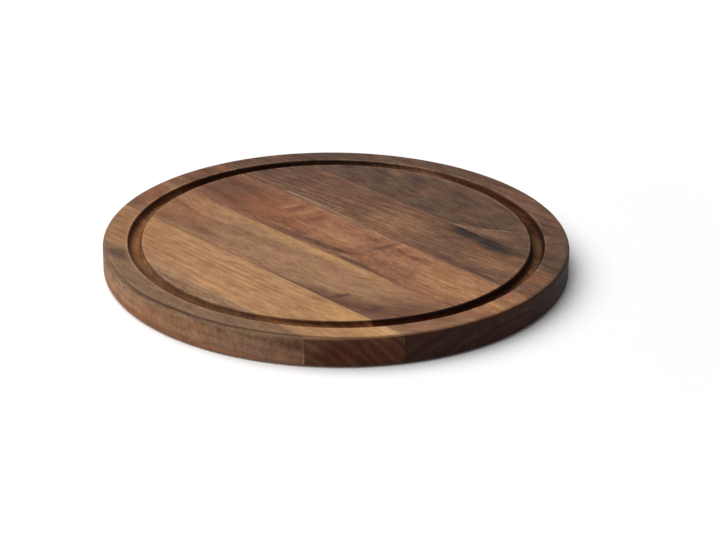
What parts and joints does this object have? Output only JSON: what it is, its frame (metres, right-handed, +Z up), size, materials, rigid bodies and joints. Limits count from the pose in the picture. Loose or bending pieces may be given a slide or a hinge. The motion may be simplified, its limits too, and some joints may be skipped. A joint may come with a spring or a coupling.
{
  "type": "wooden steak plate",
  "caption": "Round flat steak plate of edge-glued walnut staves, with a round-bottomed juice groove inside its rim and softly rounded edges.",
  "frame": {"origin": "centre of the round underside, on the surface that the plate lies on", "axes": "+Z up out of the serving face, +X along the staves, +Y across the staves"},
  "size_m": [0.28, 0.28, 0.018],
  "materials": {
    "front_edge_stave_wood": "oiled satin, grey-brown",
    "stave_1_wood": "oiled satin, light honey brown",
    "stave_2_wood": "oiled satin, medium brown",
    "stave_3_wood": "oiled satin, reddish brown",
    "stave_4_wood": "oiled satin, grey-brown",
    "stave_5_wood": "oiled satin, dark grey-brown",
    "back_edge_stave_wood": "oiled satin, dark brown",
    "glue": "cured wood glue, sanded flush and oiled over"
  },
  "bodies": {
    "root": {"front_edge_stave": "front_edge_stave_wood", "stave_1": "stave_1_wood", "stave_2": "stave_2_wood", "stave_3": "stave_3_wood", "stave_4": "stave_4_wood", "stave_5": "stave_5_wood", "back_edge_stave": "back_edge_stave_wood", "glue_line_1": "glue", "glue_line_2": "glue", "glue_line_3": "glue", "glue_line_4": "glue", "glue_line_5": "glue", "glue_line_6": "glue"}
  },
  "joints": []
}
